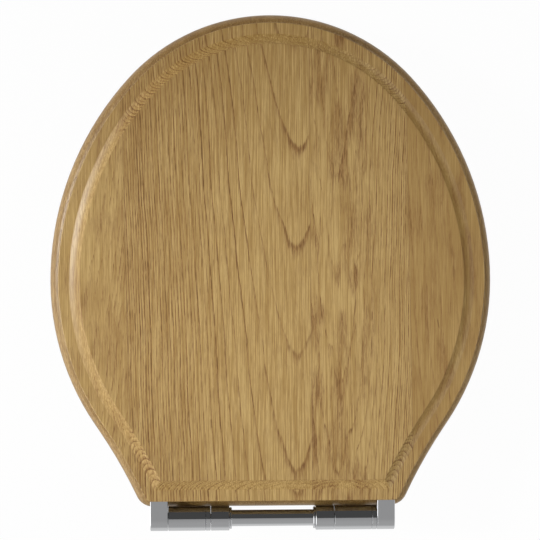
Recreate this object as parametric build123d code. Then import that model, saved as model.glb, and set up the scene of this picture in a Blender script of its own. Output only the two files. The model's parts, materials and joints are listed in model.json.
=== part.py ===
from build123d import *
import math
import os

# Seat outline in plan: tangent arcs and lines, the same on both sides
seat_width = 375.0
seat_length = 418.0
front_radius = 163.0
front_half_angle = 47.4
side_radius = 218.0
flank_angle = 33.8
hollow_radius = 425.0
tail_angle = 25.0
corner_radius = 15.0

# Lid, a little smaller than the seat ring, with its moulded edge
lid_inset = 8.2
lid_thickness = 18.0
border_height = 13.5
arris_radius = 0.8
border_flat = 9.4
cove_width = 9.0
cove_lead_angle = 13.0
lid_under_radius = 2.0

# Seat ring
ring_thickness = 18.0
ring_top_radius = 9.0
ring_under_radius = 5.0
hole_width = 222.0
hole_length = 256.0
hole_end_radius = 92.0
hole_front_margin = 72.0
hole_top_radius = 9.0
hole_under_radius = 5.0

# Heights above the bowl
seat_buffer_height = 10.0
lid_gap = 6.0

# Hinge, measured outward from the middle
hinge_setback = 7.8
barrel_radius = 10.4
barrel_drop = 1.1
bar_radius = 6.9
collar_radius = 9.1
collar_length = 2.0
bar_free_half = 34.5
seat_arm_width = 15.65
knuckle_gap = 0.25
pillar_length = 35.75
cap_length = 4.1
lid_arm_width = 14.8
lid_leaf_thickness = 3.5
lid_leaf_length = 46.0
seat_leaf_thickness = 4.0
seat_leaf_length = 52.0
lid_arm_heel_angle = -50.0
seat_neck_thickness = 10.0
seat_neck_bend = 9.0
edge_break = 0.4
leaf_end_round = 5.0

# Soft-close dampers inside the pillars
pillar_wall = 2.4
pillar_end_wall = 3.0
case_wall = 1.8
case_end_wall = 1.5
cap_plug_length = 3.8
spindle_neck_radius = 5.0
key_radius = 4.5
key_flat_half = 3.2
key_length = 9.5
journal_radius = 4.0
journal_depth = 6.5
seal_section_radius = 0.55
seal_place = 4.0

# Fits
press_gap = 0.02
run_gap = 0.06
end_gap = 0.3

# Pillar foot and fixings through the bowl
foot_inset = 0.9
foot_past_stud = 8.6
foot_depth = 20.0
foot_height = 5.0
foot_round = 2.0
post_length = 27.0
post_depth = 12.0
gasket_thickness = 1.5
stud_spacing = 155.0
stud_radius = 4.0
stud_thread_relief = 0.05
stud_in_pillar = 13.0
stud_boss_wall = 1.5
stud_below = 66.0
bowl_thickness = 25.0
cone_reach = 6.0
cone_top_radius = 6.5
cone_bottom_radius = 10.0
cone_height = 15.0
washer_radius = 9.5
washer_thickness = 1.6
nut_hub_radius = 8.0
nut_height = 10.0
wing_span = 44.0
wing_rise = 9.0
wing_foot = 9.0
wing_thickness = 3.0
wing_round = 2.0

# Screws and buffers
screw_radius = 2.0
screw_head_radius = 4.0
screw_head_height = 2.2
screw_length = 15.0
lid_screw_places = (13.8, 34.5)
seat_screw_places = (21.8, 41.6)
grub_radius = 2.5
buffer_screw_radius = 1.6
buffer_screw_head_radius = 3.2
seat_buffer_length = 36.0
seat_buffer_width = 14.0
front_buffer_inset = 80.6
front_buffer_back = 90.0
front_buffer_turn = 42.0
rear_buffer_inset = 67.5
rear_buffer_forward = 117.0
rear_buffer_turn = -38.0
lid_buffer_radius = 7.0
lid_buffer_spacing = 142.0
lid_buffer_back = 48.0
buffer_edge_round = 1.5
buffer_screw_recess = 3.0

# Worked out from the sizes above
ring_bottom = seat_buffer_height
ring_top = ring_bottom + ring_thickness
lid_bottom = ring_top + lid_gap
border_top = lid_bottom + border_height
lid_top = lid_bottom + lid_thickness
axis_z = border_top - barrel_drop - barrel_radius
front_y = hinge_setback + seat_length
half_width = seat_width / 2
cove_start = border_flat
field_inset = cove_start + cove_width
cove_drop = lid_thickness - border_height
cove_turn = 2 * (math.degrees(math.atan2(cove_drop, cove_width)) - cove_lead_angle)
cove_radius = math.hypot(cove_width, cove_drop) / (2 * math.sin(math.radians(cove_turn / 2)))
arm_front = hinge_setback + lid_inset
seat_arm_start = bar_free_half + collar_length
seat_arm_end = seat_arm_start + seat_arm_width
pillar_start = seat_arm_end + knuckle_gap
pillar_end = pillar_start + pillar_length
lid_arm_start = pillar_end + knuckle_gap
lid_arm_end = lid_arm_start + lid_arm_width
barrel_length = pillar_length - cap_length
bore_radius = barrel_radius - pillar_wall
case_radius = bore_radius - press_gap
rotor_radius = case_radius - case_wall - run_gap
margin = 3.0


def polar(centre, radius, angle):
    a = math.radians(angle)
    return (centre[0] + radius * math.cos(a), centre[1] + radius * math.sin(a))


def outline(inset):
    """Runs of the seat outline drawn inward by inset, anticlockwise.

    An arc is (centre, radius, start angle, sweep, side) with side 1 where the
    wood lies towards the centre and -1 where it lies away from it.
    """
    phi = math.radians(front_half_angle)
    flank = math.radians(flank_angle)
    tail = math.radians(tail_angle)
    c1 = (0.0, front_y - front_radius)
    p1 = polar(c1, front_radius, 90 - front_half_angle)
    shoulder_radius = (half_width - p1[0]) / (1 - math.sin(phi))
    c2 = (half_width - shoulder_radius, p1[1] - shoulder_radius * math.cos(phi))
    c3 = (half_width - side_radius, c2[1])
    p3 = polar(c3, side_radius, -flank_angle)
    fall = hollow_radius * (math.sin(flank) - math.sin(tail)) + corner_radius * (1 - math.sin(tail))
    run = (p3[1] - hinge_setback - fall) / math.cos(flank)
    p4 = (p3[0] - run * math.sin(flank), p3[1] - run * math.cos(flank))
    c4 = polar(p4, hollow_radius, -flank_angle)
    p5 = polar(c4, hollow_radius, 180 - tail_angle)
    c5 = polar(p5, -corner_radius, -tail_angle)
    right = [
        (c5, corner_radius - inset, -90, 90 - tail_angle, 1),
        (c4, hollow_radius + inset, 180 - flank_angle, flank_angle - tail_angle, -1),
        (polar(c4, -hollow_radius - inset, -flank_angle), polar(c3, side_radius - inset, -flank_angle)),
        (c3, side_radius - inset, -flank_angle, flank_angle, 1),
        (c2, shoulder_radius - inset, 0, 90 - front_half_angle, 1),
    ]
    front = (c1, front_radius - inset, 90 - front_half_angle, 2 * front_half_angle, 1)
    rear = ((-c5[0], hinge_setback + inset), (c5[0], hinge_setback + inset))
    return right + [front] + [mirrored(r) for r in right] + [rear]


def mirrored(run):
    if len(run) == 2:
        a, b = run
        return ((-b[0], b[1]), (-a[0], a[1]))
    centre, radius, start, sweep, side = run
    return ((-centre[0], centre[1]), radius, 180 - start - sweep, sweep, side)


def hole_outline():
    """Runs of the ring's opening: two end arcs and two flatter side arcs."""
    half = hole_width / 2
    reach = hole_length / 2 - hole_end_radius
    side = (half**2 - hole_end_radius**2 + reach**2) / (2 * (half - hole_end_radius))
    middle = front_y - hole_front_margin - hole_length / 2
    turn = math.degrees(math.asin(reach / (side - hole_end_radius)))
    right = ((half - side, middle), side, -turn, 2 * turn, -1)
    ends = [
        ((0.0, middle + reach), hole_end_radius, turn, 180 - 2 * turn, -1),
        ((0.0, middle - reach), hole_end_radius, 180 + turn, 180 - 2 * turn, -1),
    ]
    return [right, mirrored(right)] + ends


def plan_face(runs):
    edges = []
    for run in runs:
        if len(run) == 2:
            edges.append(Line(run[0], run[1]))
        else:
            edges.append(CenterArc(run[0], run[1], run[2], run[3]))
    return make_face(edges)


def routed(section, run):
    """What a cutter takes away along one run; the section is (inward, up)."""
    if len(run) == 2:
        (ax, ay), (bx, by) = run
        length = math.hypot(bx - ax, by - ay)
        along = ((bx - ax) / length, (by - ay) / length, 0)
        inward = (-along[1], along[0], 0)
        return extrude(Plane(origin=(ax, ay, 0), x_dir=inward, z_dir=along) * section, length)
    centre, radius, start, sweep, side = run
    face = Plane.XZ * section
    if side > 0:
        face = mirror(face, about=Plane.YZ)
    ring = revolve(Pos(radius, 0, 0) * face, Axis.Z, revolution_arc=sweep)
    return Pos(centre[0], centre[1], 0) * Rot(0, 0, start) * ring


def lid_moulding(reach):
    """Arris and border, cut straight up at reach; with no reach, the cove follows."""
    side_top = border_top - arris_radius
    edges = [CenterArc((arris_radius, side_top), arris_radius, 90, 90)]
    if reach is None:
        centre = polar((cove_start, border_top), cove_radius, 90 + cove_lead_angle)
        edges.append(Line((arris_radius, border_top), (cove_start, border_top)))
        edges.append(CenterArc(centre, cove_radius, 270 + cove_lead_angle, cove_turn))
        end = (field_inset, lid_top)
    else:
        end = (reach, border_top)
        edges.append(Line((arris_radius, border_top), end))
    over = lid_top + margin
    edges.append(Polyline(end, (end[0], over), (-margin, over), (-margin, side_top), (0, side_top)))
    return make_face(edges)


def round_over(radius, level, up):
    """Section that rounds an edge at a level; up is 1 for a top edge, -1 for a bottom one."""
    centre = (radius, level - up * radius)
    arc = CenterArc(centre, radius, 90 if up > 0 else 180, 90)
    rest = Polyline((radius, level), (radius, level + up * margin), (-margin, level + up * margin),
                    (-margin, level - up * radius), (0, level - up * radius))
    return make_face([arc, rest])


def rod(x0, x1, radius, y=0.0, z=axis_z):
    return Pos((x0 + x1) / 2, y, z) * Rot(0, 90, 0) * Cylinder(radius, x1 - x0)


def broken_rod(x0, x1, radius):
    """Rod along the hinge axis with its end edges broken."""
    plain = rod(x0, x1, radius)
    return chamfer(plain.edges().filter_by(GeomType.CIRCLE), edge_break)


def post(x, y, z0, z1, radius):
    return Pos(x, y, (z0 + z1) / 2) * Cylinder(radius, z1 - z0)


def flatted(x0, x1, gap):
    """Round bar with two flats, for a spindle end or the socket that takes it."""
    width = 2 * (key_radius + gap)
    block = Pos((x0 + x1) / 2, 0, axis_z) * Box(x1 - x0, width, 2 * (key_flat_half + gap))
    return rod(x0, x1, key_radius + gap) & block


def side_profile(edges, x0, x1):
    """Side view (y, z) drawn as edges and thickened from x0 to x1."""
    solid = extrude(Plane(origin=(x0, 0, 0), x_dir=(0, 1, 0), z_dir=(1, 0, 0)) * make_face(edges), x1 - x0)
    solid = fillet(solid.edges().filter_by(Axis.Z).group_by(Axis.Y)[-1], leaf_end_round)
    cheeks = solid.faces().filter_by(Axis.X)
    return chamfer(cheeks.edges(), edge_break)


def wood_screw(x, y, seat, up, gap=0.0):
    """Countersunk screw with its head flush at height seat, driven upward for up 1."""
    head = Cone(screw_head_radius + gap, screw_radius + gap, screw_head_height)
    shank = Pos(0, 0, screw_length / 2) * Cylinder(screw_radius + gap, screw_length + 2 * gap)
    tool = Pos(0, 0, screw_head_height / 2) * head + shank
    return Pos(x, y, seat) * (tool if up > 0 else Rot(180, 0, 0) * tool)


def pan_screw(x, y, seat, gap=0.0):
    """Buffer screw, head down, driven upward through the rubber into the wood."""
    head = post(x, y, seat - screw_head_height, seat, buffer_screw_head_radius + gap)
    return head + post(x, y, seat, seat + screw_length + gap, buffer_screw_radius + gap)


def slot_block(length, width, z0, z1):
    return extrude(Pos(0, 0, z0) * SlotOverall(length, width), z1 - z0)


parts = {}
screw_places_lid = [arm_front + place for place in lid_screw_places]
screw_places_seat = [hinge_setback + place for place in seat_screw_places]
lid_arm_x = (lid_arm_start + lid_arm_end) / 2
seat_arm_x = (seat_arm_start + seat_arm_end) / 2
lid_leaf_under = lid_bottom - lid_leaf_thickness
seat_leaf_under = ring_bottom - seat_leaf_thickness
sides = {"left": -1, "right": 1}
buffer_spots = {
    "front": (half_width - front_buffer_inset, front_y - front_buffer_back, front_buffer_turn),
    "rear": (half_width - rear_buffer_inset, hinge_setback + rear_buffer_forward, rear_buffer_turn),
}
lid_buffer_x = lid_buffer_spacing / 2
lid_buffer_y = front_y - lid_buffer_back

# Lid: one glued board, moulded all round
lid_runs = outline(lid_inset)
lid = Pos(0, 0, lid_bottom) * extrude(plan_face(lid_runs), lid_thickness)
lid_corner = corner_radius - lid_inset
deep_cut = lid_moulding(None)
shallow_cut = lid_moulding(lid_corner)
under_cut = round_over(lid_under_radius, lid_bottom, -1)
for run in lid_runs:
    at_corner = len(run) == 5 and run[1] <= lid_corner
    lid = lid - routed(shallow_cut if at_corner else deep_cut, run)
    lid = lid - routed(under_cut, run)
for s in sides.values():
    for y in screw_places_lid:
        lid -= wood_screw(s * lid_arm_x, y, lid_leaf_under, 1, press_gap)
    lid -= pan_screw(s * lid_buffer_x, lid_buffer_y, lid_bottom - screw_head_height, press_gap)
parts["lid"] = lid

# Seat ring
ring_runs = outline(0)
hole_runs = hole_outline()
ring = extrude(plan_face(ring_runs) - plan_face(hole_runs), ring_thickness)
ring = Pos(0, 0, ring_bottom) * ring
for runs, top, under in ((ring_runs, ring_top_radius, ring_under_radius),
                         (hole_runs, hole_top_radius, hole_under_radius)):
    for run in runs:
        ring = ring - routed(round_over(top, ring_top, 1), run)
        ring = ring - routed(round_over(under, ring_bottom, -1), run)
for s in sides.values():
    for y in screw_places_seat:
        ring -= wood_screw(s * seat_arm_x, y, seat_leaf_under, 1, press_gap)
    for x, y, turn in buffer_spots.values():
        ring -= pan_screw(s * x, y, buffer_screw_recess + screw_head_height, press_gap)
parts["seat_ring"] = ring

# Lid arms: a knuckle round the axis, a block against the lid and a leaf under it
knuckle_top = axis_z + barrel_radius
leaf_end = arm_front + lid_leaf_length
heel = polar((0, axis_z), barrel_radius, lid_arm_heel_angle)
arm_edges = [
    CenterArc((0, axis_z), barrel_radius, 90, 270 + lid_arm_heel_angle),
    Polyline(heel, (hinge_setback + margin, lid_leaf_under), (leaf_end, lid_leaf_under),
             (leaf_end, lid_bottom), (arm_front, lid_bottom), (arm_front, knuckle_top), (0, knuckle_top)),
]
for side, s in sides.items():
    x0, x1 = sorted((s * lid_arm_start, s * lid_arm_end))
    arm = side_profile(arm_edges, x0, x1)
    for y in screw_places_lid:
        arm -= wood_screw(s * lid_arm_x, y, lid_leaf_under, 1, press_gap)
    inner = s * lid_arm_start
    if side == "left":
        arm -= flatted(inner - key_length - end_gap, inner + end_gap, press_gap)
    else:
        arm -= rod(inner - end_gap, inner + key_length + end_gap, journal_radius + press_gap)
    parts[side + "_lid_arm"] = arm
parts["right_lid_pivot"] = rod(pillar_end - journal_depth, lid_arm_start + key_length, journal_radius)

# Seat arms: a stepped barrel on the bar, a neck down behind the ring and a leaf under it
neck_front = hinge_setback - end_gap
neck_rear = neck_front - seat_neck_thickness
neck_top = axis_z - bar_radius
bend = (neck_rear + seat_neck_bend, seat_leaf_under + seat_neck_bend)
leaf_end = hinge_setback + seat_leaf_length
neck_edges = [
    CenterArc(bend, seat_neck_bend, 180, 90),
    Polyline((bend[0], seat_leaf_under), (leaf_end, seat_leaf_under), (leaf_end, ring_bottom),
             (neck_front, ring_bottom), (neck_front, neck_top), (neck_rear, neck_top), (neck_rear, bend[1])),
]
grub_screws = []
for side, s in sides.items():
    x0, x1 = sorted((s * seat_arm_start, s * seat_arm_end))
    c0, c1 = sorted((s * bar_free_half, s * seat_arm_start))
    arm = broken_rod(x0, x1, barrel_radius) + broken_rod(c0, c1, collar_radius)
    arm += side_profile(neck_edges, x0, x1)
    arm -= rod(min(c0, x0) - margin, max(c1, x1) + margin, bar_radius + press_gap)
    grub_middle = Pos(s * seat_arm_x, 0, axis_z) * Rot(90, 0, 0)
    grub_depth = barrel_radius - bar_radius
    grub_bore = Cylinder(grub_radius + press_gap, 2 * grub_depth)
    arm -= grub_middle * Pos(0, 0, bar_radius + grub_depth) * grub_bore
    grub_length = grub_depth - end_gap
    grub = Cylinder(grub_radius, grub_length)
    grub_screws.append(grub_middle * Pos(0, 0, bar_radius + grub_length / 2) * grub)
    for y in screw_places_seat:
        arm -= wood_screw(s * seat_arm_x, y, seat_leaf_under, 1, press_gap)
    parts[side + "_seat_arm"] = arm
parts["grub_screws"] = Compound(children=grub_screws)

# Bar: its left journal turns in the left cap, its right end takes the right damper's spindle
bar = rod(-seat_arm_end, seat_arm_end, bar_radius)
bar += rod(-pillar_start - journal_depth, -seat_arm_end, journal_radius)
bar -= flatted(pillar_start - knuckle_gap - key_length - end_gap, seat_arm_end + margin, press_gap)
parts["hinge_bar"] = bar

# Pillars with their dampers: the same parts on both sides, spindle to the left, cap to the right
foot_inner = pillar_start + foot_inset
foot_outer = stud_spacing / 2 + foot_past_stud
for side, x in (("left", -pillar_end), ("right", pillar_start)):
    middle = x + pillar_length / 2
    stud_x = sides[side] * stud_spacing / 2
    foot_length = foot_outer - foot_inner
    foot_middle = Pos(sides[side] * (foot_inner + foot_outer) / 2, 0, 0)
    stud_top = gasket_thickness + stud_in_pillar
    barrel = broken_rod(x, x + barrel_length, barrel_radius)
    foot = slot_block(foot_length, foot_depth, gasket_thickness, gasket_thickness + foot_height)
    foot = fillet(foot.faces().sort_by(Axis.Z)[-1].edges(), foot_round)
    stem = slot_block(post_length, post_depth, gasket_thickness, axis_z)
    boss = post(stud_x, 0, gasket_thickness, stud_top + margin, stud_radius + stud_boss_wall)
    pillar = barrel + foot_middle * foot + Pos(middle, 0, 0) * stem + boss
    pillar -= rod(x + pillar_end_wall, x + pillar_length, bore_radius)
    pillar -= rod(x - margin, x + pillar_end_wall + margin, spindle_neck_radius + run_gap)
    pillar -= post(stud_x, 0, 0, stud_top + end_gap, stud_radius + press_gap)
    parts[side + "_pillar"] = pillar

    cap = broken_rod(x + barrel_length, x + pillar_length, barrel_radius)
    cap += rod(x + barrel_length - cap_plug_length, x + barrel_length, case_radius)
    cap -= rod(x, x + pillar_length + margin, journal_radius + run_gap)
    parts[side + "_damper_cap"] = cap

    case_start = x + pillar_end_wall
    case_end = x + barrel_length - cap_plug_length
    case = rod(case_start, case_end, case_radius)
    case -= rod(case_start - margin, case_end - case_end_wall, rotor_radius + run_gap)
    parts[side + "_damper_case"] = case

    rotor_start = case_start + end_gap
    rotor_end = case_end - case_end_wall - end_gap
    seal_x = rotor_start + seal_place
    seal_middle = rotor_radius - seal_section_radius - run_gap
    groove_half = seal_section_radius + run_gap
    groove = rod(seal_x - groove_half, seal_x + groove_half, rotor_radius + margin)
    groove -= rod(seal_x - groove_half, seal_x + groove_half, seal_middle - groove_half)
    rotor = rod(rotor_start, rotor_end, rotor_radius) - groove
    rotor += rod(x - knuckle_gap, rotor_start, spindle_neck_radius)
    rotor += flatted(x - knuckle_gap - key_length, x - knuckle_gap, 0)
    parts[side + "_damper_rotor"] = rotor
    seal = Torus(seal_middle, seal_section_radius)
    parts[side + "_damper_seal"] = Pos(seal_x, 0, axis_z) * Rot(0, 90, 0) * seal

    gasket = foot_middle * slot_block(foot_length, foot_depth, 0, gasket_thickness)
    parts[side + "_gasket"] = gasket - post(stud_x, 0, -margin, margin, stud_radius + end_gap)

    shank_end = -(bowl_thickness - cone_reach)
    thread_radius = stud_radius - stud_thread_relief
    stud = post(stud_x, 0, shank_end, 0, stud_radius)
    stud += post(stud_x, 0, 0, stud_top, thread_radius)
    stud += post(stud_x, 0, -stud_below, shank_end, thread_radius)
    parts[side + "_fixing_stud"] = stud

    cone = Cone(cone_bottom_radius, cone_top_radius, cone_height)
    cone = Pos(stud_x, 0, shank_end - cone_height / 2) * cone
    cone -= post(stud_x, 0, shank_end - 2 * cone_height, shank_end + margin, stud_radius)
    parts[side + "_cone_washer"] = cone
    washer_top = shank_end - cone_height
    washer = post(stud_x, 0, washer_top - washer_thickness, washer_top, washer_radius)
    washer -= post(stud_x, 0, washer_top - margin, washer_top + margin, stud_radius + end_gap)
    parts[side + "_flat_washer"] = washer
    nut_top = washer_top - washer_thickness
    nut_bottom = nut_top - nut_height
    wing_bottom = nut_bottom - wing_rise
    hub = post(stud_x, 0, nut_bottom, nut_top, nut_hub_radius)
    wing_half = [(nut_hub_radius, nut_top), (wing_span / 2, wing_bottom),
                 (wing_span / 2 - wing_foot, wing_bottom), (nut_hub_radius / 2, nut_bottom)]
    wing_mirror = [(-across, z) for across, z in reversed(wing_half)]
    wing_plane = Plane(origin=(stud_x, wing_thickness / 2, 0), x_dir=(1, 0, 0), z_dir=(0, -1, 0))
    wings = extrude(wing_plane * make_face(Polyline(*wing_half, *wing_mirror, close=True)), wing_thickness)
    tips = wings.edges().filter_by(Axis.Y).group_by(Axis.Z)[0]
    nut = hub + fillet(tips, wing_round)
    nut -= post(stud_x, 0, nut_top - 2 * nut_height, nut_top + margin, stud_radius)
    parts[side + "_wing_nut"] = nut

# Screws, one node for each kind
parts["lid_arm_screws"] = Compound(children=[
    wood_screw(s * lid_arm_x, y, lid_leaf_under, 1) for s in sides.values() for y in screw_places_lid])
parts["seat_arm_screws"] = Compound(children=[
    wood_screw(s * seat_arm_x, y, seat_leaf_under, 1) for s in sides.values() for y in screw_places_seat])

# Buffers: round ones under the lid, long ones under the ring, each held by one screw
lid_buffer_screws = []
seat_buffer_screws = []
for side, s in sides.items():
    pad = post(s * lid_buffer_x, lid_buffer_y, ring_top, lid_bottom, lid_buffer_radius)
    pad = fillet(pad.edges().sort_by(Axis.Z)[0], buffer_edge_round)
    seat = lid_bottom - screw_head_height
    pad -= post(s * lid_buffer_x, lid_buffer_y, ring_top - margin, seat, screw_head_radius)
    pad -= pan_screw(s * lid_buffer_x, lid_buffer_y, seat, press_gap)
    parts[side + "_lid_buffer"] = pad
    lid_buffer_screws.append(pan_screw(s * lid_buffer_x, lid_buffer_y, seat))
    for name, (x, y, turn) in buffer_spots.items():
        pad = slot_block(seat_buffer_length, seat_buffer_width, 0, ring_bottom)
        pad = fillet(pad.faces().sort_by(Axis.Z)[0].edges(), buffer_edge_round)
        pad = Pos(s * x, y, 0) * Rot(0, 0, -s * turn) * pad
        seat = buffer_screw_recess + screw_head_height
        pad -= post(s * x, y, -margin, seat, screw_head_radius)
        pad -= pan_screw(s * x, y, seat, press_gap)
        parts[side + "_" + name + "_seat_buffer"] = pad
        seat_buffer_screws.append(pan_screw(s * x, y, seat))
parts["lid_buffer_screws"] = Compound(children=lid_buffer_screws)
parts["seat_buffer_screws"] = Compound(children=seat_buffer_screws)

os.makedirs("parts", exist_ok=True)
for node, solid in parts.items():
    export_step(solid, "parts/" + node + ".step")
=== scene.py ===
import json
import math

import bpy
import bmesh
from mathutils import Matrix, Vector

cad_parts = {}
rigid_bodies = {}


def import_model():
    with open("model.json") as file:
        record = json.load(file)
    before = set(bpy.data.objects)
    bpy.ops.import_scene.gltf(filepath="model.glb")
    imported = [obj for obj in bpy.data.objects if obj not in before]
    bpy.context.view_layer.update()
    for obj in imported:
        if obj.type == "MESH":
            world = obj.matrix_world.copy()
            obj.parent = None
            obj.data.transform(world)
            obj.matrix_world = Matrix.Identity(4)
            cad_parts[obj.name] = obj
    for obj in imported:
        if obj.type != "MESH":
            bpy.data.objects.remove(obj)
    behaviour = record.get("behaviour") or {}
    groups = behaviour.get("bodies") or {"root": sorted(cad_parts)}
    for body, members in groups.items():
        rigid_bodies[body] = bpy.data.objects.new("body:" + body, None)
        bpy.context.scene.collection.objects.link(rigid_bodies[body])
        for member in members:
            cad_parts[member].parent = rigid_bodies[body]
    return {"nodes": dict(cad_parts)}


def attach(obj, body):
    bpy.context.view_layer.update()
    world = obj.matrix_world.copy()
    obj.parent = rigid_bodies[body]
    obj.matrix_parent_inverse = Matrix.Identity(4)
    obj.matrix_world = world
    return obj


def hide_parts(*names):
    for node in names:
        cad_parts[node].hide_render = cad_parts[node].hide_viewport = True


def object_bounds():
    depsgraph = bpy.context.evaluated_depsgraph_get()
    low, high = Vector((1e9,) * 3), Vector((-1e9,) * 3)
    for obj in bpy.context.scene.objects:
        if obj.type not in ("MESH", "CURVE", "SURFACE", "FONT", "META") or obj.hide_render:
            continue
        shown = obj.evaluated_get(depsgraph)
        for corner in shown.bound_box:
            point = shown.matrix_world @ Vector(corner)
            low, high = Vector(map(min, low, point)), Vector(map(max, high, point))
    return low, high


for leftover in list(bpy.data.objects):
    bpy.data.objects.remove(leftover)
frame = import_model()
cad_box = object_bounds()

MM = 0.001

# Where the photograph was taken from, in metres: what it spans at the aim, and the way to the camera
VIEW_WIDTH = 0.4602
AIM = Vector((-0.00081, 0.20954, 0.019))
CAMERA_OFFSET = Vector((-0.0573, 0.0689, 1.7633))
CAMERA_ROLL = math.radians(0.19)
SENSOR = 36.0

# Floor, in metres, and how bright it is to the eye, in the metal, and in the metal far to the left
FLOOR_SIZE = 14.0
FLOOR_GAP = 0.0003
FLOOR_COLOUR = (0.8, 0.8, 0.8, 1.0)
FLOOR_GLOW = 0.97
FLOOR_IN_METAL = 0.72
FLOOR_AT_LEFT = 2.2
LEFT_OF_SEAT = (-0.2, -0.6)

# Key lamp on the left, in metres and watts
KEY_PLACE = Vector((-1.52, 0.4, 1.58))
KEY_AIM = Vector((-0.08, 0.14, 0.05))
KEY_SIZE = 0.6
KEY_SPREAD = math.radians(18.5)
KEY_POWER = 0.66

# How bright the room is overhead and far behind the hinge, in front and at the horizon, and the share of it
# that is left at the right
REAR_LIGHT = (0.37, 0.43)
FRONT_LIGHT = 0.07
HORIZON_LIGHT = 0.53
RIGHT_SHARE = 0.35
# What matt surfaces get on top, and the wall at the left and the fill at the right that show only in a shine
MATT_GAIN = 1.75
LEFT_WALL = 1.6
RIGHT_FILL = 3.5

# Boards of the lid: joint places across, at the hinge and their slant along the grain, in mm
LID_JOINTS = [(-118.5, -0.017), (33.4, -0.006), (119.4, -0.02)]
# For each board, in mm: where its pith runs and how it falls, its rings, how blotched and how open it is.
# The last lid board's Wavy, Ragged and Blotch are high, because wood past PLAINER_PAST takes a share of them.
LID_BOARDS = {
    "Pith Across": (-172.0, 21.0, 56.0, 196.0),
    "Pith Depth": (70.0, 199.07, 70.0, 110.0),
    "Pith Fall": (0.05, 0.0222, 0.016, 0.03),
    "Ring Width": (1.9, 2.05, 1.6, 4.4),
    "Contrast": (1.6, 3.1, 2.6, 1.0),
    "Wavy": (1.5, 0.5, 2.5, 6.0),
    "Ragged": (0.5, 0.15, 0.7, 4.0),
    "Blotch": (0.6, 0.15, 1.0, 5.0),
    "Open": (0.85, 1.3, 1.1, 0.6),
    "Seed": (3.1, 11.7, 27.4, 41.2),
}
# How much paler each board is than the rest
LID_PALE = (0.0, 0.02, 0.18, -0.36)
# Dark flecks in the lid, in mm: place across and along, half length and lean
LID_FLECKS = [(139.3, 165.2, 5.2, -0.173)]
RING_JOINTS = [(-96.0, 0.004), (-14.0, -0.006), (78.0, 0.005)]
RING_BOARDS = {
    "Pith Across": (-150.0, -60.0, 44.0, 140.0),
    "Pith Depth": (90.0, 120.0, 96.0, 102.0),
    "Pith Fall": (0.02, 0.03, 0.02, 0.03),
    "Ring Width": (1.6, 1.5, 1.8, 1.7),
    "Contrast": (1.5, 1.4, 1.5, 1.2),
    "Wavy": (1.0, 1.5, 1.5, 1.0),
    "Ragged": (0.3, 0.4, 0.5, 0.3),
    "Blotch": (0.3, 0.5, 0.4, 0.3),
    "Open": (1.0, 1.0, 1.0, 1.0),
    "Seed": (52.3, 63.9, 71.5, 88.8),
}
RING_PALE = (0.0, -0.15, 0.05, -0.1)

# Streaks in the oak, in mm: their size across and along the grain and, for those that swing, how far
FIBRE_SLIP = (0.8, 70.0, 60.0)
PITH_SWAY = (400.0, 120.0, 10.0)
LONG_WAVES = (90.0, 220.0, 2.4)
SHORT_WAVES = (10.0, 45.0, 0.8)
CLOUDS = (30.0, 110.0, 0.8)
FINE_FIBRES = (0.65, 40.0, 4.8)
BROAD_FIBRES = (2.4, 90.0, 1.2)
RING_FADING = (3.0, 50.0)
COARSE_PORES = (0.7, 9.0)
FINE_PORES = (0.4, 4.5)
DARK_PATCHES = (10.0, 34.0)
# Dark lines of the rings: how pointed their arches are in mm, their sharpness, the flattest cut that
# sharpens them, and the place and the strength of the second line in each ring
ARCH_POINT = 10.0
LINE_SHARPNESS = 2.6
FLATTEST_CUT = 0.135
SECOND_LINE = 0.45
SECOND_SHARE = 0.45

# Oak surface: shares of dark colour, widths of seams and flecks in mm, where painted shade darkens it along y
# and where the wood changes along x, how much darker painted shade makes it where the metal mirrors it, its
# lacquer and roughness, and its relief and eased edges in mm
PORE_SHARE = 0.7
SEAM_SHARE = 0.35
SEAM_WIDTH = (0.15, 0.5)
FLECK_SHARE = 0.7
FLECK_WIDTH = (0.2, 0.8)
PAINTED_SHADE_PAST = (280.0, 400.0)
PAINTED_SHADE_IN_FRONT = -0.4
PLAINER_PAST = (68.0, 96.0)
PLAINEST = 0.15
PAINTED_SHADE_IN_METAL = 0.45
BLACK = (0.0, 0.0, 0.0, 1.0)
LACQUER = {"Specular_IOR_Level": 0.3, "Coat_Weight": 0.65, "Coat_Roughness": 0.36}
WOOD_ROUGHNESS = 0.5
ROUGHER_IN_PORES = 0.2
WOOD_RELIEF = 0.08
SEAM_RELIEF = 0.5
EASED_ARRIS = 0.4
ARRIS_SAMPLES = 6

# Hard finishes: relief and speck size in mm, and how smears and specks change colour and roughness
PLATE_RELIEF = 0.004
MOULDED_SPECK = 0.5
DARKER_IN_SMEARS = 0.6
ROUGHER_IN_SPECKS = 0.15

# Fixings, in mm: which screws ride where and whether their heads are sunk
SCREW_SETS = [
    ("lid_arm_screws", "lid", True),
    ("lid_buffer_screws", "lid", False),
    ("seat_arm_screws", "seat", True),
    ("seat_buffer_screws", "seat", False),
]
SCREW_HEAD = 2.2
SUNK_RIM = 0.3
ROUND_RIM = 1.3
# Screw sizes as shares of the head's radius, and the thread's depth as a share of the thread's radius
THREAD_SHARE = 0.5
CROSS_REACH_SHARE = 0.56
CROSS_WIDTH_SHARE = 0.2
THREAD_DEPTH_SHARE = 0.28
STUD_SHANK = 19.0
THREAD_FLANK = 0.46
HARD_EDGE = math.radians(35)
WELD = 0.005
# How finely round fixings are divided: heads, rims of their faces, threaded rods, a turn of thread, shanks
HEAD_STEPS = 40
RIM_STEPS = 12
ROD_STEPS = 32
TURN_STEPS = 28
SHANK_STEPS = 48
HEX_SIDES = 6


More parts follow.
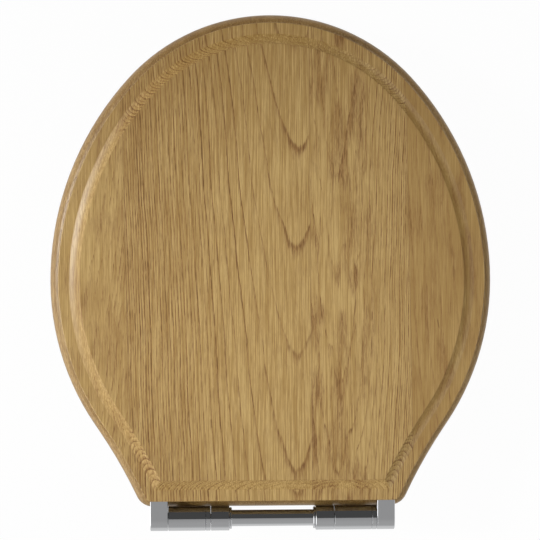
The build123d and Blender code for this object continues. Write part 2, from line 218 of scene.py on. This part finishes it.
class Graph:
    """A node tree that is built from the values its nodes give."""

    def __init__(self, tree):
        self.tree = tree

    def node(self, kind, **settings):
        made = self.tree.nodes.new(kind)
        for name, value in settings.items():
            setattr(made, name, value)
        return made

    def feed(self, socket, value):
        if isinstance(value, bpy.types.NodeSocket):
            self.tree.links.new(value, socket)
        elif value is not None:
            socket.default_value = value

    def made(self, kind, inputs, output=0, **settings):
        """The output of a new node with its inputs fed by name or number."""
        made = self.node(kind, **settings)
        for name, value in inputs.items():
            self.feed(made.inputs[name], value)
        return made.outputs[output]

    def math(self, operation, a, b=None, c=None):
        return self.made("ShaderNodeMath", {0: a, 1: b, 2: c}, operation=operation)

    def vector(self, operation, a, b=None):
        return self.made("ShaderNodeVectorMath", {0: a, 1: b}, operation=operation)

    def split(self, vector):
        return self.made("ShaderNodeSeparateXYZ", {0: vector}, output=slice(0, 3))

    def noise(self, vector, seed, detail):
        inputs = {"Vector": vector, "W": seed, "Scale": 1.0, "Detail": detail, "Roughness": 0.5}
        return self.made("ShaderNodeTexNoise", inputs, noise_dimensions="4D")

    def smooth(self, value, low, high, out_low=0.0, out_high=1.0):
        inputs = {0: value, 1: low, 2: high, 3: out_low, 4: out_high}
        return self.made("ShaderNodeMapRange", inputs, interpolation_type="SMOOTHSTEP")

    def mix(self, factor, a, b):
        made = self.node("ShaderNodeMix", data_type="RGBA")
        for name, value in (("Factor_Float", factor), ("A_Color", a), ("B_Color", b)):
            socket = next(s for s in made.inputs if s.identifier == name)
            self.feed(socket, value)
        return next(s for s in made.outputs if s.identifier == "Result_Color")


def new_tree(name, kind, inputs, outputs):
    """An empty node group with named sockets: the tree, its graph, its inputs and its outputs."""
    tree = bpy.data.node_groups.new(name, kind)
    for label, socket_kind, value in inputs:
        socket = tree.interface.new_socket(label, in_out="INPUT", socket_type="NodeSocket" + socket_kind)
        if value is not None:
            socket.default_value = value
    for label, socket_kind in outputs:
        tree.interface.new_socket(label, in_out="OUTPUT", socket_type="NodeSocket" + socket_kind)
    graph = Graph(tree)
    given = graph.node("NodeGroupInput").outputs
    result = graph.node("NodeGroupOutput").inputs
    return tree, graph, given, result


def new_maker(name, sizes):
    """A geometry group that makes pieces at points, from sizes in mm and a finish."""
    inputs = [("Points", "Geometry", None)]
    inputs += [(label, "Float", value) for label, value in sizes.items()]
    inputs.append(("Finish", "Material", None))
    return new_tree(name, "GeometryNodeTree", inputs, [("Pieces", "Geometry")])


def srgb(red, green, blue):
    """A colour as it is read off a screen, made linear."""
    def linear(level):
        level /= 255
        return level / 12.92 if level <= 0.04045 else ((level + 0.055) / 1.055) ** 2.4
    return (linear(red), linear(green), linear(blue), 1.0)


def oak_figure():
    """Growth rings of one board, cut by its surface: pale wood, dark early wood and pore streaks."""
    inputs = [
        ("Place", "Vector", None),
        ("Pith Across", "Float", 0.0),
        ("Pith Depth", "Float", 80.0),
        ("Pith Fall", "Float", 0.03),
        ("Ring Width", "Float", 3.0),
        ("Contrast", "Float", 1.0),
        ("Wavy", "Float", 1.0),
        ("Ragged", "Float", 0.6),
        ("Blotch", "Float", 0.3),
        ("Open", "Float", 1.0),
        ("Seed", "Float", 0.0),
    ]
    outputs = [("Tone", "Float"), ("Early Wood", "Float"), ("Pores", "Float")]
    tree, g, given, result = new_tree("oak_figure", "ShaderNodeTree", inputs, outputs)
    place, seed = given["Place"], given["Seed"]
    x, y, z = g.split(place)

    def streaks(across, along, detail=2.0, where=place):
        return g.noise(g.vector("MULTIPLY", where, (1 / across, 1 / along, 1 / across)), seed, detail)

    def swing(across, along, amount):
        return g.math("MULTIPLY", g.math("SUBTRACT", streaks(across, along), 0.5), amount)

    # Each bundle of fibres starts sooner or later than the next, so dark wood ends like a brush
    slip = g.math("MULTIPLY", swing(*FIBRE_SLIP), given["Ragged"])
    along = g.math("ADD", y, slip)
    slipped = g.made("ShaderNodeCombineXYZ", {"X": x, "Y": along, "Z": z})

    away = g.math("ADD", g.math("SUBTRACT", x, given["Pith Across"]), swing(*PITH_SWAY))
    away = g.math("ABSOLUTE", away)
    fall = g.math("MULTIPLY", along, given["Pith Fall"])
    depth = g.math("ADD", g.math("SUBTRACT", given["Pith Depth"], fall), z)
    # The extra width makes the arches of flat-sawn wood pointed
    pointed = g.math("MULTIPLY", away, g.math("ADD", away, ARCH_POINT))
    radius = g.math("SQRT", g.math("MULTIPLY_ADD", depth, depth, pointed))
    steep = g.math("DIVIDE", away, radius)
    waves = g.math("ADD", swing(*LONG_WAVES), swing(*SHORT_WAVES))
    radius = g.math("MULTIPLY_ADD", waves, given["Wavy"], radius)

    # Each ring has its own strength and a dark line that fades in and out along the grain
    rings = g.math("DIVIDE", radius, given["Ring Width"])
    phase = g.math("FRACT", rings)
    number = g.math("ADD", g.math("FLOOR", rings), seed)
    strength = g.made("ShaderNodeTexWhiteNoise", {"W": number}, noise_dimensions="1D")
    strength = g.smooth(strength, 0.0, 1.0, 0.55, 1.0)
    fading = g.smooth(streaks(*RING_FADING), 0.36, 0.62, 0.5, 1.0)
    strength = g.math("MULTIPLY", g.math("MULTIPLY", strength, fading), given["Contrast"])
    left = g.math("SUBTRACT", 1.0, phase)
    narrow = g.math("DIVIDE", LINE_SHARPNESS, g.math("MAXIMUM", steep, FLATTEST_CUT))
    line = g.math("MULTIPLY", g.math("POWER", left, narrow), g.smooth(phase, 0.0, 0.06))
    # Where the rings are cut steeply, a weaker line runs between two strong ones
    second = g.math("SUBTRACT", 1.0, g.math("FRACT", g.math("ADD", rings, SECOND_LINE)))
    second_share = g.smooth(steep, 0.15, 0.4, 0.0, SECOND_SHARE)
    second = g.math("MULTIPLY", g.math("POWER", second, narrow), second_share)
    line = g.math("MAXIMUM", line, second)

    # Pores are short dashes, darkest in the early wood and in the blotched patches
    coarse = g.smooth(streaks(*COARSE_PORES, 1.0), 0.5, 0.62)
    fine = g.smooth(streaks(*FINE_PORES, 1.0), 0.52, 0.64)
    dashes = g.math("MAXIMUM", coarse, g.math("MULTIPLY", fine, 0.6))
    early = g.math("MULTIPLY", g.math("MULTIPLY", line, strength), g.math("MULTIPLY_ADD", dashes, 0.5, 0.75))
    patches = g.smooth(streaks(*DARK_PATCHES, where=slipped), 0.42, 0.64)
    patches = g.math("MULTIPLY", patches, g.smooth(left, 0.25, 0.95, 0.45, 1.0))
    patches = g.math("MULTIPLY", patches, given["Blotch"])
    patches = g.math("MULTIPLY", patches, g.math("MULTIPLY_ADD", dashes, 0.4, 0.6))
    early = g.math("MAXIMUM", early, patches)
    pores = g.math("MULTIPLY", dashes, g.math("MULTIPLY_ADD", early, 0.7, 0.2))
    pores = g.math("MULTIPLY", pores, given["Open"])

    fibres = g.math("MULTIPLY", g.math("ADD", swing(*FINE_FIBRES), swing(*BROAD_FIBRES)), given["Open"])
    tone = g.math("ADD", 0.5, g.math("ADD", swing(*CLOUDS), fibres))
    g.feed(result["Tone"], tone)
    g.feed(result["Early Wood"], early)
    g.feed(result["Pores"], pores)
    return tree


def fine_wear():
    """Faint smears and specks that keep a hard surface from being perfectly even."""
    inputs = [("Place", "Vector", None), ("Smear Size", "Float", 20.0), ("Speck Size", "Float", 0.8)]
    outputs = [("Smears", "Float"), ("Specks", "Float")]
    tree, g, given, result = new_tree("fine_wear", "ShaderNodeTree", inputs, outputs)

    def spread(size, detail):
        scaled = g.made("ShaderNodeVectorMath", {0: given["Place"], "Scale": g.math("DIVIDE", 1.0, size)},
                        operation="SCALE")
        return g.noise(scaled, 0.0, detail)

    g.feed(result["Smears"], spread(given["Smear Size"], 4.0))
    g.feed(result["Specks"], spread(given["Speck Size"], 2.0))
    return tree


class Finish(Graph):
    """A material with its Principled shader, its coordinates in mm and a bump."""

    def __init__(self, name):
        self.material = bpy.data.materials.new(name)
        self.material.use_nodes = True
        super().__init__(self.material.node_tree)
        self.shader = next(n for n in self.tree.nodes if n.type == "BSDF_PRINCIPLED")
        coordinates = self.node("ShaderNodeTexCoord").outputs["Object"]
        self.place = self.vector("MULTIPLY", coordinates, (1 / MM,) * 3)

    def set(self, **sockets):
        for name, value in sockets.items():
            self.feed(self.shader.inputs[name.replace("_", " ")], value)

    def group(self, tree, **inputs):
        made = self.node("ShaderNodeGroup", node_tree=tree)
        self.feed(made.inputs["Place"], self.place)
        for name, value in inputs.items():
            self.feed(made.inputs[name.replace("_", " ")], value)
        return made.outputs

    def bump(self, height, depth, arris=0.0):
        """Relief of that depth in mm, on edges that are eased by the arris radius."""
        made = self.node("ShaderNodeBump")
        made.inputs["Distance"].default_value = depth * MM
        self.feed(made.inputs["Height"], height)
        if arris:
            eased = self.node("ShaderNodeBevel", samples=ARRIS_SAMPLES)
            eased.inputs["Radius"].default_value = arris * MM
            self.feed(made.inputs["Normal"], eased.outputs["Normal"])
        self.set(Normal=made.outputs["Normal"])


def per_board(g, steps, values):
    """The value of the board that a point lies in, from the first board and the change at each joint."""
    total = values[0]
    for step, before, after in zip(steps, values, values[1:]):
        total = g.math("MULTIPLY_ADD", step, after - before, total)
    return total


def oak_boards(name, figure, joints, boards, paleness, colours, flecks=()):
    """Oak glued up from boards, each with its own figure, under satin lacquer."""
    pale, warm, early_colour, pore_colour = colours
    g = Finish(name)
    x, y, _ = g.split(g.place)
    steps, seams = [], None
    for across, slant in joints:
        offset = g.math("SUBTRACT", g.math("SUBTRACT", x, g.math("MULTIPLY", y, slant)), across)
        steps.append(g.math("GREATER_THAN", offset, 0.0))
        seam = g.smooth(g.math("ABSOLUTE", offset), *SEAM_WIDTH, 1.0, 0.0)
        seams = seam if seams is None else g.math("MAXIMUM", seams, seam)
    given = {label.replace(" ", "_"): per_board(g, steps, values) for label, values in boards.items()}
    plain = g.smooth(x, *PLAINER_PAST, 1.0, PLAINEST)
    for label in ("Wavy", "Ragged", "Blotch"):
        given[label] = g.math("MULTIPLY", given[label], plain)
    wood = g.group(figure, **given)
    tone = g.math("ADD", wood["Tone"], per_board(g, steps, paleness))
    # Painted shade: the wood's tone is darkened towards the front of the lid, where less light falls
    tone = g.math("ADD", tone, g.smooth(y, *PAINTED_SHADE_PAST, 0.0, PAINTED_SHADE_IN_FRONT))
    colour = g.mix(tone, warm, pale)
    colour = g.mix(wood["Early Wood"], colour, early_colour)
    colour = g.mix(g.math("MULTIPLY", wood["Pores"], PORE_SHARE), colour, pore_colour)
    colour = g.mix(g.math("MULTIPLY", seams, SEAM_SHARE), colour, pore_colour)
    for across, along, half_length, lean in flecks:
        up = g.math("SUBTRACT", y, along)
        aside = g.math("SUBTRACT", g.math("MULTIPLY_ADD", up, -lean, x), across)
        thin = g.smooth(g.math("ABSOLUTE", aside), *FLECK_WIDTH, FLECK_SHARE, 0.0)
        short = g.smooth(g.math("ABSOLUTE", up), 0.4 * half_length, half_length, 1.0, 0.0)
        colour = g.mix(g.math("MULTIPLY", thin, short), colour, pore_colour)
    # Painted shade: the wood is drawn darker where it is seen in a reflection, standing in for the shade in
    # the gap by the hinge
    mirrored = g.node("ShaderNodeLightPath").outputs["Is Glossy Ray"]
    colour = g.mix(g.math("MULTIPLY", mirrored, PAINTED_SHADE_IN_METAL), colour, BLACK)
    roughness = g.math("MULTIPLY_ADD", wood["Pores"], ROUGHER_IN_PORES, WOOD_ROUGHNESS)
    g.set(Base_Color=colour, Roughness=roughness, **LACQUER)
    hollows = g.math("MULTIPLY_ADD", seams, SEAM_RELIEF, wood["Pores"])
    height = g.math("SUBTRACT", 1.0, hollows)
    g.bump(height, WOOD_RELIEF, EASED_ARRIS)
    return g.material


def plated(name, wear, colour, roughness, smear_share):
    """Bright metal: chrome plate or zinc plate, by its colour and roughness."""
    g = Finish(name)
    marks = g.group(wear)
    g.set(Base_Color=colour, Metallic=1.0)
    g.set(Roughness=g.math("MULTIPLY_ADD", marks["Smears"], smear_share, roughness))
    g.bump(marks["Specks"], PLATE_RELIEF)
    return g.material


def moulded(name, wear, colour, roughness, grain):
    """Rubber or plastic with a fine moulded grain."""
    g = Finish(name)
    marks = g.group(wear, Speck_Size=MOULDED_SPECK)
    darker = tuple(DARKER_IN_SMEARS * level for level in colour[:3]) + (1.0,)
    g.set(Base_Color=g.mix(marks["Smears"], colour, darker))
    g.set(Roughness=g.math("MULTIPLY_ADD", marks["Specks"], ROUGHER_IN_SPECKS, roughness))
    g.bump(marks["Specks"], grain)
    return g.material


def make_finishes():
    """One material for each material slot of the CAD; oak colours are pale, warm, early wood and pores."""
    figure, wear = oak_figure(), fine_wear()
    lid_colours = (srgb(193, 161, 99), srgb(161, 126, 64), srgb(128, 84, 26), srgb(108, 69, 19))
    ring_colours = (srgb(182, 149, 93), srgb(152, 117, 62), srgb(112, 77, 30), srgb(86, 55, 17))
    return {
        "oak_lid": oak_boards("oak_lid_lacquered", figure, LID_JOINTS, LID_BOARDS, LID_PALE, lid_colours,
                              LID_FLECKS),
        "oak_ring": oak_boards("oak_ring_lacquered", figure, RING_JOINTS, RING_BOARDS, RING_PALE,
                               ring_colours),
        "chrome": plated("chrome_plate", wear, (0.713, 0.719, 0.731, 1.0), 0.02, 0.06),
        "steel": plated("zinc_plate", wear, (0.62, 0.63, 0.62, 1.0), 0.24, 0.2),
        "damper_plastic": moulded("damper_plastic_grey", wear, (0.2, 0.2, 0.21, 1.0), 0.4, 0.01),
        "black_rubber": moulded("rubber_black", wear, (0.022, 0.022, 0.023, 1.0), 0.6, 0.03),
    }


def dress_cad_nodes(finishes):
    """Every CAD node keeps its shape and takes the finish of its material slot."""
    for node in frame["nodes"].values():
        for slot in node.material_slots:
            slot.material = finishes[slot.material.name.split(".")[0]]


def joined(g, shapes):
    """The shapes as one geometry."""
    both = g.node("GeometryNodeJoinGeometry")
    for shape in shapes:
        g.feed(both.inputs[0], shape)
    return both.outputs[0]


def shifted(g, shape, rise=0.0, turn=(0.0, 0.0, 0.0), scale=(1.0, 1.0, 1.0)):
    """The shape scaled, turned and raised along z."""
    place = g.made("ShaderNodeCombineXYZ", {"Z": rise})
    inputs = {"Geometry": shape, "Translation": place, "Rotation": turn, "Scale": scale}
    return g.made("GeometryNodeTransform", inputs)


def turned(g, bottom, top, height, rim):
    """A turned head or body, standing on its face, with the rim of the face rounded."""
    sizes = {"Vertices": HEAD_STEPS, "Side Segments": RIM_STEPS, "Radius Bottom": bottom,
             "Radius Top": top, "Depth": height}
    blank = g.made("GeometryNodeMeshCone", sizes)
    place = g.made("GeometryNodeInputPosition", {})
    x, y, z = g.split(place)
    below = g.math("MAXIMUM", g.math("SUBTRACT", rim, z), 0.0)
    squares = g.math("SUBTRACT", g.math("MULTIPLY", rim, rim), g.math("MULTIPLY", below, below))
    pull = g.math("SUBTRACT", rim, g.math("SQRT", g.math("MAXIMUM", squares, 0.0)))
    out = g.math("SQRT", g.math("ADD", g.math("MULTIPLY", x, x), g.math("MULTIPLY", y, y)))
    share = g.math("DIVIDE", g.math("SUBTRACT", out, pull), out)
    rounded = g.made("ShaderNodeCombineXYZ", {
        "X": g.math("MULTIPLY", x, share), "Y": g.math("MULTIPLY", y, share), "Z": z})
    return g.made("GeometryNodeSetPosition", {"Geometry": blank, "Position": rounded})


def sunk(g, solid, cutters):
    """The solid with the cutters' shapes taken out of it."""
    cut = g.node("GeometryNodeMeshBoolean", operation="DIFFERENCE", solver="EXACT")
    g.feed(cut.inputs["Mesh 1"], solid)
    for cutter in cutters:
        g.feed(cut.inputs["Mesh 2"], cutter)
    return cut.outputs["Mesh"]


def threaded(g, radius, depth, pitch, length, tip, tip_radius):
    """A threaded rod that goes up from its foot: a core, a helical ridge and a tapered end."""
    core_radius = g.math("SUBTRACT", radius, depth)
    straight = g.math("SUBTRACT", length, tip)
    core_sizes = {"Vertices": ROD_STEPS, "Radius": core_radius, "Depth": straight}
    core = g.made("GeometryNodeMeshCylinder", core_sizes)
    core = shifted(g, core, g.math("MULTIPLY", straight, 0.5))
    end_sizes = {"Vertices": ROD_STEPS, "Radius Bottom": core_radius, "Radius Top": tip_radius,
                 "Depth": tip}
    end = shifted(g, g.made("GeometryNodeMeshCone", end_sizes), straight)
    rise = g.math("SUBTRACT", straight, pitch)
    path = g.made("GeometryNodeCurveSpiral", {
        "Resolution": TURN_STEPS, "Rotations": g.math("DIVIDE", rise, pitch), "Start Radius": core_radius,
        "End Radius": core_radius, "Height": rise, "Reverse": False})
    path = g.made("GeometryNodeSetCurveNormal", {"Curve": path}, mode="Z_UP")
    ridge = g.made("GeometryNodeCurvePrimitiveCircle", {"Resolution": 4, "Radius": 1.0})
    flanks = g.made("ShaderNodeCombineXYZ", {
        "X": depth, "Y": g.math("MULTIPLY", pitch, THREAD_FLANK), "Z": 1.0})
    ridge = shifted(g, ridge, scale=flanks)
    helix = g.made("GeometryNodeCurveToMesh", {"Curve": path, "Profile Curve": ridge, "Fill Caps": True})
    helix = shifted(g, helix, g.math("MULTIPLY", pitch, 0.5))
    return joined(g, [core, end, helix])


def set_out(g, result, given, shape, turn=(0.0, 0.0, 0.0)):
    """The shape, drawn in mm, at each point, as a plain mesh with its finish and its hard edges."""
    inputs = {"Points": given["Points"], "Instance": shape, "Rotation": turn, "Scale": (MM, MM, MM)}
    pieces = g.made("GeometryNodeInstanceOnPoints", inputs)
    pieces = g.made("GeometryNodeRealizeInstances", {"Geometry": pieces})
    pieces = g.made("GeometryNodeSetShadeSmooth", {0: pieces, "Shade Smooth": True}, domain="FACE")
    fold = g.made("GeometryNodeInputMeshEdgeAngle", {})
    hard = g.made("FunctionNodeCompare", {0: fold, 1: HARD_EDGE}, data_type="FLOAT", operation="GREATER_THAN")
    pieces = g.made("GeometryNodeSetShadeSmooth", {0: pieces, "Selection": hard, "Shade Smooth": False},
                    domain="EDGE")
    pieces = g.made("GeometryNodeSetMaterial", {"Geometry": pieces, "Material": given["Finish"]})
    g.feed(result["Pieces"], pieces)


def screw_maker():
    """Cross-head screw, driven upward, with the face of its head at the point."""
    tree, g, given, result = new_maker("cross_head_screw", {
        "Head Radius": 4.0, "Neck Radius": 2.0, "Head Height": 2.2, "Rim Round": 0.3, "Thread Radius": 2.0,
        "Thread Depth": 0.5, "Thread Length": 12.8, "Pitch": 1.6, "Tip": 3.0,
        "Cross Reach": 2.2, "Cross Width": 0.8, "Cross Depth": 1.5})
    head = turned(g, given["Head Radius"], given["Neck Radius"], given["Head Height"], given["Rim Round"])
    reach = g.math("MULTIPLY", given["Cross Reach"], 2.0)
    depth = g.math("MULTIPLY", given["Cross Depth"], 2.0)
    arms = [(reach, given["Cross Width"]), (given["Cross Width"], reach)]
    cutters = [g.made("GeometryNodeMeshCube", {"Size": g.made("ShaderNodeCombineXYZ", {
        "X": across, "Y": along, "Z": depth})}) for across, along in arms]
    head = sunk(g, head, cutters)
    shank = threaded(g, given["Thread Radius"], given["Thread Depth"], given["Pitch"],
                     given["Thread Length"], given["Tip"], 0.0)
    set_out(g, result, given, joined(g, [head, shifted(g, shank, given["Head Height"])]))
    return tree


def stud_maker():
    """Fixing stud: a plain shank that hangs from the point, threaded above and below."""
    tree, g, given, result = new_maker("fixing_stud", {
        "Shank Radius": 4.0, "Shank Length": 19.0, "Above": 14.5, "Below": 47.0,
        "Thread Radius": 3.95, "Thread Depth": 0.75, "Pitch": 1.25, "Tip": 1.2, "Tip Radius": 2.5})
    shank = g.made("GeometryNodeMeshCylinder", {
        "Vertices": SHANK_STEPS, "Radius": given["Shank Radius"], "Depth": given["Shank Length"]})
    shank = shifted(g, shank, g.math("MULTIPLY", given["Shank Length"], -0.5))

    def end(length):
        return threaded(g, given["Thread Radius"], given["Thread Depth"], given["Pitch"], length,
                        given["Tip"], given["Tip Radius"])

    drop = g.math("MULTIPLY", given["Shank Length"], -1.0)
    lower = shifted(g, end(given["Below"]), drop, (math.pi, 0.0, 0.0))
    set_out(g, result, given, joined(g, [shank, end(given["Above"]), lower]))
    return tree


def grub_maker():
    """Socket set screw that looks to the rear, with its face at the point."""
    tree, g, given, result = new_maker("grub_screw", {
        "Radius": 2.5, "Length": 3.2, "Rim Round": 0.4, "Socket Radius": 1.44, "Socket Depth": 2.0})
    body = turned(g, given["Radius"], given["Radius"], given["Length"], given["Rim Round"])
    depth = g.math("MULTIPLY", given["Socket Depth"], 2.0)
    socket = g.made("GeometryNodeMeshCylinder", {
        "Vertices": HEX_SIDES, "Radius": given["Socket Radius"], "Depth": depth})
    set_out(g, result, given, sunk(g, body, [socket]), (-math.pi / 2, 0.0, 0.0))
    return tree


def solids_of(name):
    """Lowest and highest corner, in mm, of each separate solid in a CAD node."""
    shape = bmesh.new()
    shape.from_mesh(frame["nodes"][name].data)
    bmesh.ops.remove_doubles(shape, verts=shape.verts, dist=WELD * MM)
    unseen, corners = set(shape.verts), []
    while unseen:
        front, solid = [unseen.pop()], []
        while front:
            here = front.pop()
            solid.append(here.co / MM)
            beside = {edge.other_vert(here) for edge in here.link_edges} & unseen
            unseen -= beside
            front.extend(beside)
        corners.append([Vector(pick(axis) for axis in zip(*solid)) for pick in (min, max)])
    shape.free()
    return corners


def make_piece(name, tree, places, sizes, slot, body, nodes):
    """A plain mesh of the tree's shape at every place, which stands for CAD nodes of one body."""
    mesh = bpy.data.meshes.new(name)
    mesh.from_pydata([place * MM for place in places], [], [])
    piece = bpy.data.objects.new(name, mesh)
    bpy.context.scene.collection.objects.link(piece)
    maker = piece.modifiers.new("maker", "NODES")
    maker.node_group = tree
    given = dict(sizes, Finish=finishes[slot])
    for socket in tree.interface.items_tree:
        if socket.name in given:
            maker[socket.identifier] = given[socket.name]
    ready = piece.evaluated_get(bpy.context.evaluated_depsgraph_get())
    plain = bpy.data.meshes.new_from_object(ready)
    piece.modifiers.remove(maker)
    plain.materials.clear()
    plain.materials.append(finishes[slot])
    piece.data = plain
    bpy.data.meshes.remove(mesh)
    plain.name = name
    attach(piece, body)
    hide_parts(*nodes)


def make_screws():
    """Cross-head screws for the arms and buffers, sized and placed by the solids they stand for."""
    tree = screw_maker()
    for kind, body, sunk_head in SCREW_SETS:
        solids = solids_of(kind)
        low, high = solids[0]
        head_radius = (high.x - low.x) / 2
        thread_radius = THREAD_SHARE * head_radius
        sizes = {
            "Head Radius": head_radius,
            "Neck Radius": thread_radius if sunk_head else head_radius,
            "Rim Round": SUNK_RIM if sunk_head else ROUND_RIM,
            "Head Height": SCREW_HEAD,
            "Thread Radius": thread_radius,
            "Thread Depth": THREAD_DEPTH_SHARE * thread_radius,
            "Thread Length": high.z - low.z - SCREW_HEAD,
            "Cross Reach": CROSS_REACH_SHARE * head_radius,
            "Cross Width": CROSS_WIDTH_SHARE * head_radius,
        }
        places = [Vector(((low.x + high.x) / 2, (low.y + high.y) / 2, low.z)) for low, high in solids]
        make_piece("cross_head_" + kind, tree, places, sizes, "steel", body, [kind])


def make_studs():
    """Threaded fixing studs through the bowl, hung from its top face."""
    nodes = ["left_fixing_stud", "right_fixing_stud"]
    solids = [solids_of(node)[0] for node in nodes]
    places = [Vector(((low.x + high.x) / 2, (low.y + high.y) / 2, 0.0)) for low, high in solids]
    low, high = solids[0]
    sizes = {"Shank Length": STUD_SHANK, "Above": high.z, "Below": -low.z - STUD_SHANK}
    make_piece("threaded_fixing_studs", stud_maker(), places, sizes, "steel", "mounting", nodes)


def make_grub_screws():
    """Socket screws that lock the seat arms on the bar, seen from the rear."""
    solids = solids_of("grub_screws")
    low, high = solids[0]
    places = [Vector(((low.x + high.x) / 2, low.y, (low.z + high.z) / 2)) for low, high in solids]
    sizes = {"Radius": (high.x - low.x) / 2, "Length": high.y - low.y}
    make_piece("socket_grub_screws", grub_maker(), places, sizes, "steel", "seat", ["grub_screws"])


def make_floor():
    """A pale floor that reads white to the eye, greyer in the metal, and still takes the shadow."""
    half = FLOOR_SIZE / 2
    down = cad_box[0].z - FLOOR_GAP
    mesh = bpy.data.meshes.new("floor")
    corners = [(-half, -half, down), (half, -half, down), (half, half, down), (-half, half, down)]
    mesh.from_pydata(corners, [], [(0, 1, 2, 3)])
    floor = bpy.data.objects.new("floor", mesh)
    bpy.context.scene.collection.objects.link(floor)
    material = bpy.data.materials.new("floor_white")
    material.use_nodes = True
    g = Graph(material.node_tree)
    g.tree.nodes.clear()
    rays = g.node("ShaderNodeLightPath").outputs
    seen = g.math("MAXIMUM", rays["Is Camera Ray"], rays["Is Glossy Ray"])
    seen = g.math("MAXIMUM", seen, rays["Is Transmission Ray"])
    across = g.split(g.node("ShaderNodeTexCoord").outputs["Object"])[0]
    mirrored = g.smooth(across, *LEFT_OF_SEAT, FLOOR_IN_METAL, FLOOR_AT_LEFT)
    level = g.math("MULTIPLY_ADD", rays["Is Glossy Ray"], g.math("SUBTRACT", mirrored, 1.0), 1.0)
    matt = g.made("ShaderNodeBsdfDiffuse", {"Color": FLOOR_COLOUR})
    glow = g.made("ShaderNodeEmission", {"Color": (1.0, 1.0, 1.0, 1.0), "Strength": level})
    both = g.made("ShaderNodeMixShader", {0: g.math("MULTIPLY", seen, FLOOR_GLOW), 1: matt, 2: glow})
    g.feed(g.node("ShaderNodeOutputMaterial").inputs["Surface"], both)
    mesh.materials.append(material)


def make_surroundings():
    """A room that is grey overhead and behind, brighter at the horizon, and dark in front and at right."""
    world = bpy.data.worlds.new("studio")
    world.use_nodes = True
    g = Graph(world.node_tree)
    background = next(n for n in g.tree.nodes if n.type == "BACKGROUND")
    # Parts of a unit direction: x to the right, y to the front, z up
    x, y, z = g.split(g.node("ShaderNodeTexCoord").outputs["Generated"])
    rear = g.smooth(y, 0.0, -0.8, *REAR_LIGHT)
    front = g.smooth(y, -0.02, 0.05)
    light = g.math("MULTIPLY_ADD", front, g.math("SUBTRACT", FRONT_LIGHT, rear), rear)
    horizon = g.smooth(z, 0.35, 0.05)
    light = g.math("MULTIPLY_ADD", horizon, g.math("SUBTRACT", HORIZON_LIGHT, light), light)
    light = g.math("MULTIPLY", light, g.smooth(x, 0.1, 0.6, 1.0, RIGHT_SHARE))
    matt = g.node("ShaderNodeLightPath").outputs["Is Diffuse Ray"]
    gain = g.math("MULTIPLY", matt, g.smooth(y, -0.65, -0.2, 0.0, MATT_GAIN))
    light = g.math("MULTIPLY_ADD", light, gain, light)
    wall = g.math("MULTIPLY", g.smooth(x, -0.6, -0.85), g.smooth(z, 0.5, 0.3))
    wall = g.math("MULTIPLY", wall, g.smooth(y, 0.2, 0.0, 0.0, LEFT_WALL))
    fill = g.math("MULTIPLY", g.smooth(x, 0.32, 0.45), g.smooth(x, 0.75, 0.6))
    fill = g.math("MULTIPLY", fill, g.smooth(z, 0.5, 0.65, 0.0, RIGHT_FILL))
    shine = g.math("MULTIPLY", g.math("ADD", wall, fill), g.math("SUBTRACT", 1.0, matt))
    g.feed(background.inputs["Color"], g.math("ADD", light, shine))
    bpy.context.scene.world = world


def make_lamp(name, place, target, size, spread, power):
    """A round soft lamp that looks at the target."""
    data = bpy.data.lights.new(name, "AREA")
    data.shape = "DISK"
    data.size = size
    data.spread = spread
    data.energy = power
    lamp = bpy.data.objects.new(name, data)
    lamp.location = place
    lamp.rotation_euler = (target - place).to_track_quat("-Z", "Y").to_euler()
    bpy.context.scene.collection.objects.link(lamp)


def make_camera():
    """The camera, with a lens that spans the view's width at the aim."""
    data = bpy.data.cameras.new("camera")
    camera = bpy.data.objects.new("camera", data)
    place = AIM + CAMERA_OFFSET
    back = CAMERA_OFFSET.normalized()
    up = Vector((math.sin(CAMERA_ROLL), math.cos(CAMERA_ROLL), 0.0))
    right = up.cross(back).normalized()
    up = back.cross(right)
    turn = Matrix((right, up, back)).transposed().to_4x4()
    camera.matrix_world = Matrix.Translation(place) @ turn
    data.sensor_width = SENSOR
    data.lens = SENSOR * CAMERA_OFFSET.length / VIEW_WIDTH
    data.clip_end = 4 * FLOOR_SIZE
    bpy.context.scene.collection.objects.link(camera)
    bpy.context.scene.camera = camera


finishes = make_finishes()
dress_cad_nodes(finishes)
make_screws()
make_studs()
make_grub_screws()
make_floor()
make_surroundings()
make_lamp("key", KEY_PLACE, KEY_AIM, KEY_SIZE, KEY_SPREAD, KEY_POWER)
make_camera()
bpy.context.scene.view_settings.view_transform = "Standard"
